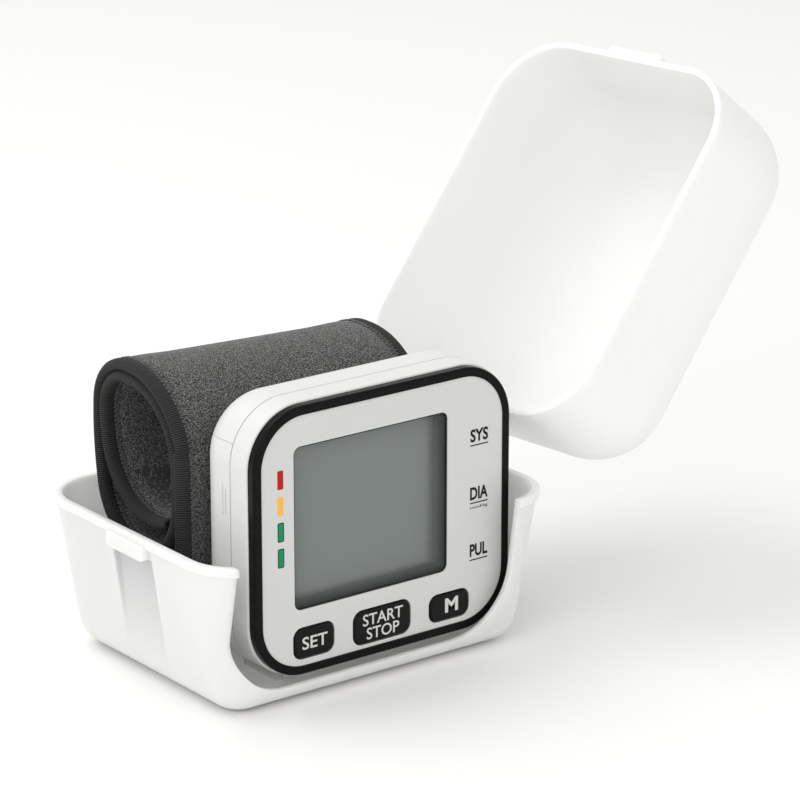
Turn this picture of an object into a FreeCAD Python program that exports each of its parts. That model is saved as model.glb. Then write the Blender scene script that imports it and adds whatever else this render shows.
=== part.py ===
import FreeCAD, Part
import math
import os

# Wrist blood pressure monitor with a rolled cuff, standing in a frosted hinged storage case.
# Millimetres, +Z up. The origin is the centre of the case's flat base, on the surface it stands on.
# The display looks along -Y, the battery door is on the -X side and the case hinge on the +X side.

V = FreeCAD.Vector
X, Y, Z = V(1, 0, 0), V(0, 1, 0), V(0, 0, 1)

# --- driving dimensions: storage case -------------------------------------------------------
CASE_HALF_X, CASE_HALF_Y = 49.7, 39.7   # outside of the tub's rim bead
CASE_CORNER = 14.2                      # plan radius of the tub rim's corners
TUB_HEIGHT = 38.8
TUB_SLOPE = 0.155                       # inward lean of the tub's wall per mm of depth
TUB_ROUND = 8.5                         # wall to base radius
WALL = 1.6
BEAD, BEAD_HEIGHT = 0.5, 2.2            # rim bead: how far it stands proud, and how tall it is
RIM_GAP = 0.3                           # between the closed lid and the tub
LID_HALF_X, LID_X = 48.2, -0.5          # the closed lid ends short of the tub on the hinge side
LID_CORNER = 18.2
LID_HEIGHT = 39.0
LID_SLOPE = 0.01
LID_ROUND = 17.5
LID_WALL = 1.5
LATCH_Y = -1.5                          # centre of the latch along the -X wall
LATCH_WIDTH, RECESS_WIDTH = 15.0, 17.0
RECESS_DEPTH = 1.8
RECESS_LEAN = 5.5                       # degrees; the recess runs out to nothing near the base
OPENING_X = (-43.0, 36.4)               # sides of the gap in the front wall, round the monitor

# --- driving dimensions: lid hinge ----------------------------------------------------------
HINGE_X, HINGE_Z = 50.55, 46.3
HINGE_SKEW = 2.0                        # degrees that the pin is turned from the side wall
LID_OPEN = 128.5                        # degrees from closed to the open stop
PIN_R, BARREL_R = 1.1, 2.3
PIN_CLEARANCE = 0.05
KNUCKLE_HALF = 5.7                      # half length of the lid's middle knuckle
EAR_FROM, EAR_TO = 6.0, 11.0            # each tub ear along the pin

# --- driving dimensions: monitor ------------------------------------------------------------
MONITOR_X, MONITOR_Z = 2.85, 38.7       # centre of the face
FACE_Y = -31.0                          # front of the trim ring
RING_W, RING_H, RING_R = 74.3, 65.4, 14.0
RING_FACE, RING_PROUD = 2.2, 2.3
BODY_OVER = 0.5                         # how far the white body stands outside the ring
SEAM_Y = -22.6                          # front and rear housings meet
BACK_Y = -9.0
BODY_WALL = 1.8
BACK_ROUND = 8.0                        # radius round the back of the body
WINDOW = (-22.9, 21.4, 22.0, 61.7)      # x and z limits of the display window
BARS_X, BAR_W, BAR_H = -26.7, 1.6, 4.5
BARS_Z = (("bar_red", (54.8,)), ("bar_amber", (48.5,)), ("bar_green", (42.2, 35.9)))
# name, centre x, centre z, width, height, corner radius
BUTTONS = (("set_button", -17.6, 13.7, 11.2, 7.3, 2.2),
           ("start_stop_button", 2.1, 13.5, 16.4, 8.2, 2.4),
           ("memory_button", 22.0, 13.1, 11.5, 6.5, 2.2))
BUTTON_FRONT, BUTTON_GAP = -31.1, 0.3

# --- driving dimensions: inside the monitor -------------------------------------------------
CELL_R, CELL_LENGTH = 5.25, 44.5        # two cells of the AAA size
CELLS_X, CELL_Y, CELL_Z = (-26.9, -16.25), -18.4, 17.9
PCB_Y, PCB_T = -22.6, 1.2
PUMP_X, PUMP_Y = 31.5, -17.2
VALVE_X, VALVE_Y = 3.0, -16.0

# --- driving dimensions: cuff ---------------------------------------------------------------
CUFF_HALF_X, CUFF_X = 36.0, -2.2           # half width of the strap, and its middle
CUFF_FRONT, CUFF_START = -7.7, 16.0     # outside face at the front, and the height that it starts from
CUFF_PITCH = 2.8                        # from one turn's outside face to the next
CUFF_SPRING_Z = 51.2                    # where the straight front bends into the arch
CUFF_ARCH = ((22.2, 90.0), 2.2, (13.2, 86.0))   # radius and angle, straight length, radius and angle
CUFF_BACK = (85.0, 14.0)                # the outer turn's gently bowed back
CUFF_INNER_BACK = (33.9, 19.3)
CUFF_INNER_FOOT = ((19.7, 25.0), (19.7, 73.0))  # the second one carries the hook patch
CUFF_LAYERS = (("cuff_outer_fabric", 0.0, 0.6), ("cuff_curler", 0.6, 1.0),
               ("cuff_bladder", 1.0, 1.8), ("cuff_inner_fabric", 1.8, 2.4))
CORE_MARGIN = 4.0                       # the curler and the bladder stop this far inside the fabric
HOOK_T, HOOK_HALF_X = 0.8, 29.0
BINDING = 1.2                           # width of the bound edge at each end

os.makedirs("parts", exist_ok=True)


def save(name, *solids):
    shape = solids[0] if len(solids) == 1 else Part.makeCompound(list(solids))
    shape.exportStep("parts/" + name + ".step")
    print(name, len(shape.Solids), round(shape.Volume, 1), shape.isValid())


def box(x0, x1, y0, y1, z0, z1, r=0.0, along=Y):
    """A block between its limits; r rounds the four edges that run along one axis."""
    solid = Part.makeBox(x1 - x0, y1 - y0, z1 - z0, V(x0, y0, z0))
    if r:
        edges = [e for e in solid.Edges if abs(e.tangentAt(e.FirstParameter).dot(along)) > 0.9]
        solid = solid.makeFillet(r, edges)
    return solid


def rod(x, y, z, radius, length, axis=Z):
    return Part.makeCylinder(radius, length, V(x, y, z), axis)


def face_plate(width, height, y0, y1, r, x=MONITOR_X, z=MONITOR_Z):
    return box(x - width / 2, x + width / 2, y0, y1, z - height / 2, z + height / 2, r)


def soften(solid, radius, chosen):
    return solid.makeFillet(radius, [e for e in solid.Edges if chosen(e)])


def bowl(half_x, half_y, corner, base, top, slope, rounding):
    """A solid tray: rounded plan at the top, walls that lean in, and a rounded foot."""
    lean = math.atan(slope)
    z_turn = base + rounding * (1 - math.sin(lean))
    in_turn = slope * (top - z_turn)
    centre = in_turn + rounding * math.cos(lean)
    middle = math.radians(45) + lean / 2

    def half_profile(reach):
        """The wall's profile and its base, from the wall to a line `reach` inside it."""
        turn = V(in_turn, 0, z_turn)
        low = V(centre, 0, base)
        on_arc = V(centre - rounding * math.cos(middle), 0, base + rounding * (1 - math.sin(middle)))
        inner_low, inner_top = V(reach, 0, base), V(reach, 0, top)
        edges = [Part.makeLine(V(0, 0, top), turn), Part.Arc(turn, on_arc, low).toShape()]
        if reach - centre > 1e-6:
            edges.append(Part.makeLine(low, inner_low))
        edges += [Part.makeLine(inner_low, inner_top), Part.makeLine(inner_top, V(0, 0, top))]
        return Part.Face(Part.Wire(edges))

    flat_x, flat_y = half_x - corner, half_y - corner
    pieces = [box(-flat_x, flat_x, -flat_y, flat_y, base, top)]
    for turn, reach_out, run in ((0, half_x, flat_y), (90, half_y, flat_x),
                                 (180, half_x, flat_y), (270, half_y, flat_x)):
        side = half_profile(corner)
        side.translate(V(-reach_out, -run, 0))
        side = side.extrude(V(0, 2 * run, 0))
        side.rotate(V(0, 0, 0), Z, turn)
        pieces.append(side)
    for sign_x in (-1, 1):
        for sign_y in (-1, 1):
            quarter = half_profile(corner)
            quarter.translate(V(-corner, 0, 0))
            quarter = quarter.revolve(V(0, 0, 0), Z, 360)
            quarter.translate(V(sign_x * flat_x, sign_y * flat_y, 0))
            pieces.append(quarter)
    return pieces[0].multiFuse(pieces[1:]).removeSplitter()


def to_hinge(solid):
    """From the hinge's own frame (pin along +Y through the origin) to the part's frame."""
    solid.rotate(V(0, 0, 0), Z, HINGE_SKEW)
    solid.translate(V(HINGE_X, 0, HINGE_Z))
    return solid


def open_lid(solid):
    axis = V(-math.sin(math.radians(HINGE_SKEW)), math.cos(math.radians(HINGE_SKEW)), 0)
    solid.rotate(V(HINGE_X, 0, HINGE_Z), axis, LID_OPEN)
    return solid


# --- storage case ---------------------------------------------------------------------------
def case_tub():
    half_x, half_y = CASE_HALF_X - BEAD, CASE_HALF_Y - BEAD
    corner = CASE_CORNER - BEAD
    outer = bowl(half_x, half_y, corner, 0, TUB_HEIGHT, TUB_SLOPE, TUB_ROUND)
    bead = box(-CASE_HALF_X, CASE_HALF_X, -CASE_HALF_Y, CASE_HALF_Y,
               TUB_HEIGHT - BEAD_HEIGHT, TUB_HEIGHT, CASE_CORNER, Z)
    bead = soften(bead, 0.6, lambda e: abs(e.BoundBox.ZMax - e.BoundBox.ZMin) < 0.01)
    over = 1.0
    inner = bowl(half_x - WALL + TUB_SLOPE * over, half_y - WALL + TUB_SLOPE * over,
                 corner - WALL + TUB_SLOPE * over, WALL, TUB_HEIGHT + over, TUB_SLOPE, TUB_ROUND - WALL)
    # finger recess in the -X wall, backed by a pad inside so that the wall keeps its thickness
    y0, y1 = LATCH_Y - RECESS_WIDTH / 2, LATCH_Y + RECESS_WIDTH / 2

    def leaning_block(x0, x1, ya, yb, z0, z1, r):
        block = box(x0, x1, ya, yb, z0, z1, r, Z)
        block.rotate(V(-half_x, 0, TUB_HEIGHT), Y, -RECESS_LEAN)
        return block
    pad = leaning_block(-half_x, -half_x + RECESS_DEPTH + WALL, y0 - WALL, y1 + WALL, 5, 34, 1.5)
    recess = leaning_block(-half_x - 3, -half_x + RECESS_DEPTH, y0, y1, 0, 34, 1.2)
    tab = box(-CASE_HALF_X - 0.7, -half_x + 2.6, LATCH_Y - LATCH_WIDTH / 2, LATCH_Y + LATCH_WIDTH / 2,
              TUB_HEIGHT - 5.0, TUB_HEIGHT - 1.4, 0.8, X)
    # U-shaped opening in the front wall, round the monitor's face
    x0, x1 = OPENING_X
    opening = box(x0, x1, -45, -20, 5.0, 90, RING_R + 2.0)
    opening = opening.fuse(box(x0, x1, -45, -20, 30, 90))
    ribs = [box(x, x + 2.0, -21.5, -8.5, WALL - 0.4, 5.2) for x in (-22.0, 24.0)]
    tub = outer.fuse(bead).cut(inner)
    tub = tub.fuse(pad.common(outer)).cut(recess).fuse([tab] + ribs).cut(opening)
    # ears for the hinge pin, outside the +X wall
    keep_out = box(-LID_HALF_X, LID_X + LID_HALF_X + RIM_GAP, -40, 40, TUB_HEIGHT, 60)
    for s0 in (-EAR_TO, EAR_FROM):
        length = EAR_TO - EAR_FROM
        outline = [(-6.0, -19.0), (BARREL_R, -11.0), (BARREL_R, 0), (-BARREL_R, 0), (-BARREL_R, -6.8), (-6.0, -8.5)]
        corners = [V(x, s0, z) for x, z in outline + outline[:1]]
        arm = Part.Face(Part.makePolygon(corners)).extrude(V(0, length, 0))
        ear = to_hinge(rod(0, s0, 0, BARREL_R, length, Y).fuse(arm))
        tub = tub.fuse(ear.cut(inner).cut(keep_out))
    tub = tub.cut(to_hinge(rod(0, -EAR_TO - 1, 0, PIN_R, 2 * EAR_TO + 2, Y)))
    return tub.removeSplitter()


def case_lid():
    """Built closed, then turned to the open stop."""
    rim = TUB_HEIGHT + RIM_GAP
    outer = bowl(LID_HALF_X, CASE_HALF_Y, LID_CORNER, 0, LID_HEIGHT, LID_SLOPE, LID_ROUND)
    over = 1.0
    inner = bowl(LID_HALF_X - LID_WALL + LID_SLOPE * over, CASE_HALF_Y - LID_WALL + LID_SLOPE * over,
                 LID_CORNER - LID_WALL + LID_SLOPE * over, LID_WALL, LID_HEIGHT + over, LID_SLOPE, LID_ROUND - LID_WALL)
    lid = outer.cut(inner)
    lid.rotate(V(0, 0, 0), X, 180)
    lid.translate(V(LID_X, 0, rim + LID_HEIGHT))
    # thumb lip over the latch
    left = LID_X - LID_HALF_X
    thumb = box(left - 1.5, left + 1.2, LATCH_Y - 9, LATCH_Y + 9, rim, rim + 1.8, 0.8, Z)
    lid = lid.fuse(thumb)
    barrel = rod(0, -KNUCKLE_HALF, 0, BARREL_R, 2 * KNUCKLE_HALF, Y)
    web = box(-5.2, 0, -KNUCKLE_HALF, KNUCKLE_HALF, 0, BARREL_R)
    knuckle = to_hinge(barrel.fuse(web))
    bore = to_hinge(rod(0, -8, 0, PIN_R + PIN_CLEARANCE, 16, Y))
    cavity = box(-40, LID_X + LID_HALF_X - 1.4, -20, 20, rim - 10, 60)
    return open_lid(lid.fuse(knuckle.cut(cavity)).cut(bore).removeSplitter())


def build_case():
    save("case_tub", case_tub())
    save("case_lid", case_lid())
    save("hinge_pin", to_hinge(rod(0, -EAR_TO, 0, PIN_R, 2 * EAR_TO, Y)))


# --- monitor's outside ----------------------------------------------------------------------
BODY_W, BODY_H, BODY_R = RING_W + 2 * BODY_OVER, RING_H + 2 * BODY_OVER, RING_R + BODY_OVER
CORE_W, CORE_H, CORE_R = BODY_W - 2 * BODY_WALL, BODY_H - 2 * BODY_WALL, BODY_R - BODY_WALL
PANEL_W, PANEL_H, PANEL_R = RING_W - 2 * RING_FACE, RING_H - 2 * RING_FACE, RING_R - RING_FACE
BODY_FRONT = FACE_Y + RING_PROUD
CORE_FRONT = BODY_FRONT + BODY_WALL
PANEL_FRONT = FACE_Y + 0.3
CORNER_SCREWS = [(-20.5, 67.8), (25.5, 67.8), (-27.0, 11.4), (32.6, 13.4)]
CUFF_PORT = (8.0, 26.0)                 # x and z of the air port in the back


def button_hole(button, y0, y1):
    name, x, z, width, height, r = button
    return face_plate(width + 2 * BUTTON_GAP, height + 2 * BUTTON_GAP, y0, y1, r + BUTTON_GAP, x, z)


def window_block(grow, y0, y1, r):
    x0, x1, z0, z1 = WINDOW
    return box(x0 - grow, x1 + grow, y0, y1, z0 - grow, z1 + grow, r)


def bar_block(z, grow, y0, y1):
    return box(BARS_X - BAR_W / 2 - grow, BARS_X + BAR_W / 2 + grow, y0, y1,
               z - BAR_H / 2 - grow, z + BAR_H / 2 + grow, 0.3 + grow)


def front_edge(y):
    return lambda e: abs(e.BoundBox.YMin - y) < 0.01 and abs(e.BoundBox.YMax - y) < 0.01


def build_face():
    ring = soften(face_plate(RING_W, RING_H, FACE_Y, BODY_FRONT, RING_R), 0.6, front_edge(FACE_Y))
    tongue = face_plate(RING_W - 1.2, RING_H - 1.2, BODY_FRONT, BODY_FRONT + 0.8, RING_R - 0.6)
    inside = face_plate(PANEL_W + 0.1, PANEL_H + 0.1, -40, 0, PANEL_R)
    save("trim_ring", ring.fuse(tongue).cut(inside).removeSplitter())

    panel = face_plate(PANEL_W, PANEL_H, PANEL_FRONT, BODY_FRONT, PANEL_R)
    holes = [window_block(0.05, -40, 0, 1.9)] + [button_hole(b, -40, 0) for b in BUTTONS]
    for _, heights in BARS_Z:
        holes += [bar_block(z, 0.02, -40, 0) for z in heights]
    save("face_panel", panel.cut(holes))
    save("display_window", window_block(0, PANEL_FRONT + 0.25, BODY_FRONT, 1.8))
    for name, heights in BARS_Z:
        save(name, *[bar_block(z, 0, PANEL_FRONT - 0.05, BODY_FRONT) for z in heights])

    for name, x, z, width, height, r in BUTTONS:
        cap = face_plate(width, height, BUTTON_FRONT, CORE_FRONT - 0.3, r, x, z)
        cap = soften(cap, 0.5, front_edge(BUTTON_FRONT))
        flange = face_plate(width + 2.0, height - 1.4, CORE_FRONT + 0.15, CORE_FRONT + 1.1, 1.5, x, z)
        neck = face_plate(width - 1, height - 1.4, CORE_FRONT - 0.3, CORE_FRONT + 0.15, 1.5, x, z)
        save(name, cap.fuse([neck, flange]).removeSplitter())


def build_housings():
    front = soften(face_plate(BODY_W, BODY_H, BODY_FRONT, SEAM_Y, BODY_R), 0.5, front_edge(BODY_FRONT))
    cuts = [face_plate(CORE_W, CORE_H, CORE_FRONT, SEAM_Y, CORE_R),
            window_block(-0.7, -40, 0, 1.2)] + [button_hole(b, -40, 0) for b in BUTTONS]
    groove = face_plate(RING_W - 1.2, RING_H - 1.2, BODY_FRONT, BODY_FRONT + 0.8, RING_R - 0.6)
    cuts.append(groove.cut(face_plate(PANEL_W + 0.1, PANEL_H + 0.1, -40, 0, PANEL_R)))
    front = front.cut(cuts)
    posts = [rod(x, CORE_FRONT - 0.2, z, 2.4, SEAM_Y - CORE_FRONT + 0.2, Y) for x, z in CORNER_SCREWS]
    pilots = [rod(x, CORE_FRONT + 0.6, z, 0.9, 9, Y) for x, z in CORNER_SCREWS]
    front = front.fuse(posts).cut(pilots)
    save("front_housing", front.removeSplitter())

    rear = soften(face_plate(BODY_W, BODY_H, SEAM_Y, BACK_Y, BODY_R), BACK_ROUND, front_edge(BACK_Y))
    form = rear
    rear = rear.cut(face_plate(BODY_W + 2, BODY_H + 2, SEAM_Y, SEAM_Y + 0.35, BODY_R + 1).cut(
        face_plate(BODY_W - 0.9, BODY_H - 0.9, SEAM_Y, SEAM_Y + 0.35, BODY_R - 0.45)))
    core = face_plate(CORE_W, CORE_H, SEAM_Y, BACK_Y - BODY_WALL, CORE_R)
    core = soften(core, BACK_ROUND - BODY_WALL, front_edge(BACK_Y - BODY_WALL))
    posts = [form.common(rod(x, SEAM_Y, z, 2.4, BACK_Y - SEAM_Y - 1.0, Y)) for x, z in CORNER_SCREWS]
    shafts = [rod(x, SEAM_Y - 1, z, 1.15, 20, Y) for x, z in CORNER_SCREWS]
    heads = [rod(x, BACK_Y - 4.0, z, 2.0, 10, Y) for x, z in CORNER_SCREWS]
    shell = rear.cut(core)
    # the battery door is the part of the -X side between these limits
    door_cut = box(-50, -30.0, SEAM_Y - 1.0, -12.7, 18.1, 62.7)
    door_body = box(-50, -30.6, SEAM_Y + 0.15, -12.8, 18.2, 62.6)
    door = shell.common(door_body)
    grip = MONITOR_X - BODY_W / 2 + 0.25
    notch = [box(-40, grip, SEAM_Y + y, SEAM_Y + y + 0.3, z0, z1)
             for y, z0, z1 in ((1.9, 45.2, 51.6), (3.0, 44.9, 52.7))]
    save("battery_door", door.cut(notch))
    port = rod(CUFF_PORT[0], BACK_Y - 4, CUFF_PORT[1], 2.4, 8, Y)
    save("rear_housing", shell.cut(door_cut).fuse(posts).cut(shafts + heads + [port]).removeSplitter())

    screws = []
    for x, z in CORNER_SCREWS:
        head_y = BACK_Y - 4.0
        shank = rod(x, head_y - 11.0, z, 0.9, 11.0, Y)
        head = rod(x, head_y, z, 1.8, 1.2, Y).cut(
            [box(x - 1.1, x + 1.1, head_y + 0.6, head_y + 2, z - 0.2, z + 0.2),
             box(x - 0.2, x + 0.2, head_y + 0.6, head_y + 2, z - 1.1, z + 1.1)])
        screws.append(shank.fuse(head))
    save("housing_screws", *screws)


# --- monitor's inside -----------------------------------------------------------------------
def build_display():
    x0, x1, z0, z1 = -25.0, 23.4, 20.8, 62.9
    save("lcd_front_glass", box(x0, x1, CORE_FRONT, CORE_FRONT + 0.9, z0, z1))
    save("lcd_rear_glass", box(x0, x1, CORE_FRONT + 0.9, CORE_FRONT + 1.8, z0 + 1.6, z1))
    save("lcd_reflector", box(x0, x1, CORE_FRONT + 1.8, CORE_FRONT + 2.0, z0 + 1.6, z1))
    frame = box(x0 - 1.1, x1 + 1.1, CORE_FRONT, CORE_FRONT + 2.7, z0 - 1.1, z1 + 1.0)
    frame = frame.cut([box(x0 - 0.1, x1 + 0.1, -40, CORE_FRONT + 2.1, z0 - 0.1, z1 + 0.1),
                       box(x0 + 2, x1 - 2, -40, 0, z0 + 3, z1 - 2),
                       box(-9.5, 22.0, -40, 0, z0 - 0.1, z0 + 1.6)])
    save("lcd_holder", frame)
    save("zebra_strip", box(-8.5, 21.5, CORE_FRONT + 0.9, PCB_Y, z0, z0 + 1.5))


def build_electronics():
    board = box(-9.2, 22.5, PCB_Y, PCB_Y + PCB_T, 8.3, 62.0)
    strip = box(-20.0, 28.0, PCB_Y, PCB_Y + PCB_T, 8.3, 15.6)
    holes = [rod(x, -30, z, 1.1, 20, Y) for x, z in ((-6.5, 59.0), (19.5, 59.0), (-6.5, 19.0), (19.5, 19.0))]
    save("main_pcb", board.fuse(strip).cut(holes).removeSplitter())
    mat = box(-20.0, 28.0, PCB_Y - 0.8, PCB_Y, 8.6, 15.4)
    domes = [rod(x, PCB_Y - 1.9, 12.2, 2.6, 1.2, Y) for _, x, _, _, _, _ in BUTTONS]
    save("key_mat", mat.fuse(domes).removeSplitter())
    back = PCB_Y + PCB_T
    save("controller_chip", box(8.0, 18.0, back, back + 1.2, 46.0, 56.0))
    save("small_chips", *[box(x, x + 3.0, back, back + 0.9, z, z + 4.0)
                          for x, z in ((-6.5, 49.0), (-6.5, 42.0), (17.0, 24.0), (17.0, 38.0))])
    sensor = box(10.0, 16.0, back, back + 3.0, 32.0, 38.0).fuse(rod(13.0, back + 3.0, 35.0, 1.0, 2.5, Y))
    save("pressure_sensor", sensor)
    buzzer = rod(-13.0, back, 12.0, 3.4, 2.6, Y).cut(rod(-13.0, back + 1.6, 12.0, 0.8, 2, Y))
    save("buzzer", buzzer)


def build_batteries():
    top = CELL_Z + CELL_LENGTH
    cells = [rod(x, CELL_Y, CELL_Z, CELL_R, CELL_LENGTH - 0.8).fuse(
        rod(x, CELL_Y, top - 0.8, 1.9, 0.8)) for x in CELLS_X]
    save("battery_cells", *cells)
    low_wall, high_wall = CELL_Z - 1.4, top + 1.0
    save("battery_springs", *[rod(x, CELL_Y, low_wall + 0.3, 2.6, 1.1).cut(
        rod(x, CELL_Y, low_wall + 0.3, 1.7, 2)) for x in CELLS_X])
    save("spring_plate", box(-31.0, -11.4, CELL_Y - 3, CELL_Y + 3, low_wall, low_wall + 0.3))
    save("button_contacts", *[box(x - 3.5, x + 3.5, CELL_Y - 3, CELL_Y + 3, top, top + 1.0)
                              for x in CELLS_X])
    side = box(-10.9, -9.7, -23.8, BACK_Y - BODY_WALL - 0.1, 19.5, high_wall + 1.0)
    floor = box(-31.4, -9.7, -21.2, -13.6, low_wall - 1.0, low_wall)
    roof = box(-29.9, -9.7, -22.0, -13.6, high_wall, high_wall + 1.0)
    link = box(-10.9, -9.7, -21.2, -13.6, low_wall - 1.0, 20.0)
    save("battery_tray", side.fuse([floor, roof, link]).removeSplitter())


def pipe(points, outer, inner):
    """A hose through straight runs with ball corners."""
    def solid(radius):
        runs = []
        for a, b in zip(points, points[1:]):
            a, b = V(*a), V(*b)
            runs.append(Part.makeCylinder(radius, (b - a).Length, a, b - a))
        runs += [Part.makeSphere(radius, V(*p)) for p in points[1:-1]]
        return runs[0].multiFuse(runs[1:]) if len(runs) > 1 else runs[0]
    return solid(outer).cut(solid(inner))


def build_air_system():
    motor = rod(PUMP_X, PUMP_Y, 42.5, 5.9, 17.0).fuse(rod(PUMP_X, PUMP_Y, 59.5, 2.2, 1.5))
    save("pump_motor", motor.cut(rod(PUMP_X, PUMP_Y, 42, 0.8, 11)))
    half = 5.9
    head = box(PUMP_X - half, PUMP_X + half, PUMP_Y - half, PUMP_Y + half, 27.0, 42.5, 5.4, Z)
    head = head.cut([rod(PUMP_X, PUMP_Y, 36.0, 5.0, 10), rod(PUMP_X, PUMP_Y, 31.0, 4.0, 8),
                     rod(PUMP_X, PUMP_Y, 26.0, 0.7, 8)])
    head = head.fuse(rod(PUMP_X, PUMP_Y, 24.0, 1.4, 3.0).cut(rod(PUMP_X, PUMP_Y, 23.0, 0.7, 8)))
    save("pump_head", head.removeSplitter())
    disc = rod(PUMP_X, PUMP_Y, 35.2, 4.0, 0.8)
    save("pump_diaphragm", disc.fuse(rod(PUMP_X, PUMP_Y, 33.8, 2.0, 1.4)))
    rotor = rod(PUMP_X, PUMP_Y, 39.0, 0.74, 13.0).fuse(rod(PUMP_X + 1.2, PUMP_Y, 38.2, 3.0, 2.6))
    save("pump_rotor", rotor)

    x, y = VALVE_X, VALVE_Y
    body = box(x - 4.6, x + 4.6, y - 4.6, y + 4.6, 46.0, 58.0, 1.0, Z)
    save("valve_coil", body.cut(rod(x, y, 45.0, 1.55, 11.0)))
    cap = box(x - 4.6, x + 4.6, y - 4.6, y + 4.6, 38.5, 46.0, 1.0, Z).fuse(rod(x, y, 35.5, 1.4, 3.2))
    save("valve_cap", cap.cut([rod(x, y, 41.0, 2.6, 6.0), rod(x, y, 35.0, 0.7, 8.0)]))
    plunger = rod(x, y, 43.6, 1.5, 9.0)
    save("valve_plunger", plunger)
    save("valve_seal", rod(x, y, 42.6, 1.9, 1.0))

    px, pz = CUFF_PORT
    block = box(px - 9.5, px + 5.0, -20.4, -12.6, 22.5, 29.9, 1.0, Z)
    bores = [rod(x, y, 24.5, 0.8, 8), rod(px, -16.0, pz, 0.8, 8, Y)]
    nozzle = rod(px, -12.6, pz, 1.5, 1.7, Y)
    save("air_manifold", block.fuse(nozzle).cut(bores))
    save("valve_hose", pipe([(x, y, 30.0), (x, y, 35.4)], 1.4, 0.75))
    save("pump_hose", pipe([(PUMP_X, PUMP_Y, 23.9), (PUMP_X, PUMP_Y, 20.5), (24.5, PUMP_Y, 19.8),
                            (18.0, PUMP_Y, 25.0), (px + 5.1, PUMP_Y, 25.0)], 1.3, 0.7))


def build_cuff_mount():
    """Plate that holds the cuff to the back of the monitor, its screws, and the air nozzle."""
    y0, y1 = BACK_Y + 0.05, CUFF_FRONT - 0.05
    plate = box(MONITOR_X - 26, MONITOR_X + 26, y0, y1, 16.0, 60.0, 5.0)
    spots = [(MONITOR_X + sx * 21, z) for sx in (-1, 1) for z in (21.0, 55.0)]
    port = rod(CUFF_PORT[0], y0 - 5, CUFF_PORT[1], 2.4, 12, Y)
    save("cuff_plate", plate.cut([rod(x, y0 - 1, z, 1.4, 4, Y) for x, z in spots] + [port]))
    save("cuff_plate_screws", *[rod(x, y0, z, 1.3, y1 - y0, Y) for x, z in spots])
    nozzle = rod(CUFF_PORT[0], BACK_Y - BODY_WALL, CUFF_PORT[1], 2.3, y1 - BACK_Y + BODY_WALL, Y)
    save("air_nozzle", nozzle.cut(rod(CUFF_PORT[0], -20, CUFF_PORT[1], 1.1, 20, Y)))


# --- cuff -----------------------------------------------------------------------------------
def roll(steps, start_z, inset):
    """Edges (start, via, end) of the strap's line, `inset` inside its outer face, in Y and Z.
    It sets off upwards; a step is a straight length, or a radius and the angle of a turn towards +Y."""
    heading = 90.0
    here = (CUFF_FRONT + inset, start_z)
    edges = []
    for step in steps:
        angle = math.radians(heading)
        if isinstance(step, tuple):
            radius, turn = step[0] - inset, step[1]
            centre = (here[0] + radius * math.sin(angle), here[1] - radius * math.cos(angle))
            via, end = [(centre[0] - radius * math.sin(math.radians(heading - part)),
                         centre[1] + radius * math.cos(math.radians(heading - part)))
                        for part in (turn / 2, turn)]
            heading -= turn
        else:
            via, end = None, (here[0] + step * math.cos(angle), here[1] + step * math.sin(angle))
        edges.append((here, via, end))
        here = end
    return edges


def cuff_steps(margin=0.0):
    """The whole strap from the monitor's back to its free end; margin shortens both ends."""
    start_z = CUFF_START + margin
    outer = [CUFF_SPRING_Z - start_z] + list(CUFF_ARCH) + [CUFF_BACK]
    lean = sum(step[1] for step in outer if isinstance(step, tuple)) - 180.0
    back_y = roll(outer, start_z, 0)[-1][2][0]
    bottom = (back_y - CUFF_FRONT - CUFF_PITCH) / (1 + math.cos(math.radians(lean)))
    outer.append((bottom, 180.0 - lean))
    rise = CUFF_SPRING_Z - roll(outer, start_z, 0)[-1][2][1]
    front, flat, back = CUFF_ARCH
    inner = [rise, (front[0] - CUFF_PITCH, front[1]), flat, (back[0] - CUFF_PITCH, back[1]), CUFF_INNER_BACK]
    foot, tip = CUFF_INNER_FOOT
    return outer + inner + [foot, (tip[0], tip[1] - math.degrees(margin / tip[0]))]


def strap(inset0, inset1, x0, x1, margin=0.0, tip_only=False):
    """The rolled strap between two insets, from x0 to x1."""
    lines = [roll(cuff_steps(margin), CUFF_START + margin, inset) for inset in (inset0, inset1)]
    if tip_only:
        lines = [line[-1:] for line in lines]

    def point(p):
        return V(CUFF_X + x0, p[0], p[1])
    edges = []
    for line in lines:
        for a, via, b in line:
            if via:
                edges.append(Part.Arc(point(a), point(via), point(b)).toShape())
            else:
                edges.append(Part.makeLine(point(a), point(b)))
    edges.append(Part.makeLine(point(lines[0][0][0]), point(lines[1][0][0])))
    edges.append(Part.makeLine(point(lines[0][-1][2]), point(lines[1][-1][2])))
    wire = Part.Wire(Part.__sortEdges__(edges))
    return Part.Face(wire).extrude(V(x1 - x0, 0, 0))


def build_cuff():
    half = CUFF_HALF_X - BINDING
    for name, inset0, inset1 in CUFF_LAYERS:
        margin = 0.0 if name.endswith("fabric") else CORE_MARGIN
        save(name, strap(inset0, inset1, margin - half, half - margin, margin))
    thick = CUFF_LAYERS[-1][2]
    save("cuff_binding", strap(0, thick, -CUFF_HALF_X, -half), strap(0, thick, half, CUFF_HALF_X))
    save("cuff_hook_patch", strap(thick, thick + HOOK_T, -HOOK_HALF_X, HOOK_HALF_X, CORE_MARGIN, True))


build_case()
build_face()
build_housings()
build_display()
build_electronics()
build_batteries()
build_air_system()
build_cuff_mount()
build_cuff()
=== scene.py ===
"""Looks for a wrist blood pressure monitor in its frosted storage case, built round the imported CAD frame.

Lengths are in metres in the CAD's own frame: +Z up, the display faces -Y, the case's hinge is on the +X side.
MM turns a length in millimetres into metres.
"""

import math

import bmesh
import bpy
import numpy as np
from mathutils import Matrix, Vector


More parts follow.
